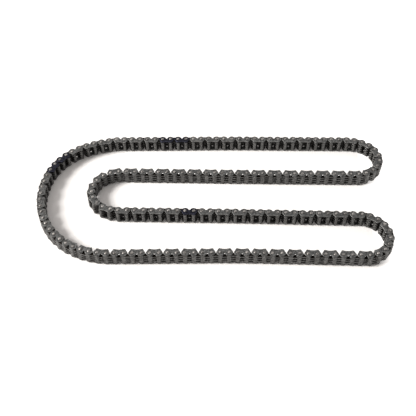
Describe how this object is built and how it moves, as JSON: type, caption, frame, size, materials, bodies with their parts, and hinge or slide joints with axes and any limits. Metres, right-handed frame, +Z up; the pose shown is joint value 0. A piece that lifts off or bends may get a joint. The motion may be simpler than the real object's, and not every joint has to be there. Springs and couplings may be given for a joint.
{
  "type": "silent timing chain",
  "caption": "Endless silent timing chain with inverted teeth and outer guide plates, lying on its side in a folded loop with four bights.",
  "frame": {"origin": "middle of the loop's outline, on the surface that it lies on", "axes": "+X along the straight runs, from the big bight to the two small ones; +Y away from the front run, in the plane of the loop; +Z up, along the pins"},
  "size_m": [0.3446, 0.1579, 0.014],
  "materials": {
    "link_steel": "dark oiled steel, tumbled, slightly bright on the edges and pin heads",
    "blued_guide_plate": "blued, near black"
  },
  "bodies": {
    "centre_strands": {"back_run_centre_strand": "link_steel", "upper_middle_run_centre_strand": "link_steel", "lower_middle_run_centre_strand": "link_steel", "front_run_centre_strand": "link_steel"},
    "back_run_right_arm": {"back_run_right_strand": "link_steel"},
    "right_back_turn": {"right_back_bight": "link_steel"},
    "upper_middle_run_right_arm": {"upper_middle_run_right_strand": "link_steel"},
    "upper_middle_run_left_arm": {"upper_middle_run_left_strand": "link_steel"},
    "inner_left_turn": {"inner_left_bight": "link_steel"},
    "lower_middle_run_left_arm": {"lower_middle_run_left_strand": "link_steel", "marked_guide_plate_3": "blued_guide_plate"},
    "lower_middle_run_right_arm": {"lower_middle_run_right_strand": "link_steel"},
    "right_front_turn": {"right_front_bight": "link_steel"},
    "front_run_right_arm": {"front_run_right_strand": "link_steel"},
    "front_run_left_arm": {"front_run_left_strand": "link_steel"},
    "left_outer_turn": {"left_outer_bight_1": "link_steel", "left_outer_bight_2": "link_steel", "left_outer_bight_3": "link_steel", "left_outer_bight_4": "link_steel", "marked_guide_plate_4": "blued_guide_plate", "marked_guide_plate_5": "blued_guide_plate"},
    "back_run_left_arm": {"back_run_left_strand": "link_steel", "marked_guide_plate_1": "blued_guide_plate", "marked_guide_plate_2": "blued_guide_plate"}
  },
  "joints": [
    {"name": "right_back_swing", "type": "hinge", "parent": "centre_strands", "child": "back_run_right_arm", "pos_m": [0.05113, 0.07498, 0.007], "axis": [0, 0, 1], "range_deg": [-8, 16]},
    {"name": "right_back_first_end_hinge", "type": "hinge", "parent": "back_run_right_arm", "child": "right_back_turn", "pos_m": [0.13912, 0.07386, 0.007], "axis": [0, 0, 1], "range_deg": [-16, 8]},
    {"name": "right_back_second_end_hinge", "type": "hinge", "parent": "right_back_turn", "child": "upper_middle_run_right_arm", "pos_m": [0.14498, 0.02486, 0.007], "axis": [0, 0, 1], "range_deg": [-8, 16]},
    {"name": "inner_left_swing", "type": "hinge", "parent": "centre_strands", "child": "upper_middle_run_left_arm", "pos_m": [-0.007, 0.02698, 0.007], "axis": [0, 0, 1], "range_deg": [-8, 8]},
    {"name": "inner_left_first_end_hinge", "type": "hinge", "parent": "upper_middle_run_left_arm", "child": "inner_left_turn", "pos_m": [-0.09499, 0.02861, 0.007], "axis": [0, 0, 1], "range_deg": [-8, 8]},
    {"name": "inner_left_second_end_hinge", "type": "hinge", "parent": "inner_left_turn", "child": "lower_middle_run_left_arm", "pos_m": [-0.09139, -0.02174, 0.007], "axis": [0, 0, 1], "range_deg": [-8, 8]},
    {"name": "right_front_swing", "type": "hinge", "parent": "centre_strands", "child": "lower_middle_run_right_arm", "pos_m": [0.05258, -0.02467, 0.007], "axis": [0, 0, 1], "range_deg": [-16, 8]},
    {"name": "right_front_first_end_hinge", "type": "hinge", "parent": "lower_middle_run_right_arm", "child": "right_front_turn", "pos_m": [0.14055, -0.02712, 0.007], "axis": [0, 0, 1], "range_deg": [-8, 16]},
    {"name": "right_front_second_end_hinge", "type": "hinge", "parent": "right_front_turn", "child": "front_run_right_arm", "pos_m": [0.14149, -0.07523, 0.007], "axis": [0, 0, 1], "range_deg": [-16, 8]},
    {"name": "left_outer_swing", "type": "hinge", "parent": "centre_strands", "child": "front_run_left_arm", "pos_m": [-0.01047, -0.0722, 0.007], "axis": [0, 0, 1], "range_deg": [-8, 8]},
    {"name": "left_outer_first_end_hinge", "type": "hinge", "parent": "front_run_left_arm", "child": "left_outer_turn", "pos_m": [-0.09847, -0.07309, 0.007], "axis": [0, 0, 1], "range_deg": [-8, 8]},
    {"name": "left_outer_second_end_hinge", "type": "hinge", "parent": "left_outer_turn", "child": "back_run_left_arm", "pos_m": [-0.10086, 0.07417, 0.007], "axis": [0, 0, 1], "range_deg": [-8, 8]}
  ],
  "couplings": [
    {"joint": "right_back_first_end_hinge", "follows": "right_back_swing", "ratio": -1},
    {"joint": "right_back_second_end_hinge", "follows": "right_back_swing", "ratio": 1},
    {"joint": "inner_left_first_end_hinge", "follows": "inner_left_swing", "ratio": -1},
    {"joint": "inner_left_second_end_hinge", "follows": "inner_left_swing", "ratio": 1},
    {"joint": "right_front_first_end_hinge", "follows": "right_front_swing", "ratio": -1},
    {"joint": "right_front_second_end_hinge", "follows": "right_front_swing", "ratio": 1},
    {"joint": "left_outer_first_end_hinge", "follows": "left_outer_swing", "ratio": -1},
    {"joint": "left_outer_second_end_hinge", "follows": "left_outer_swing", "ratio": 1}
  ]
}
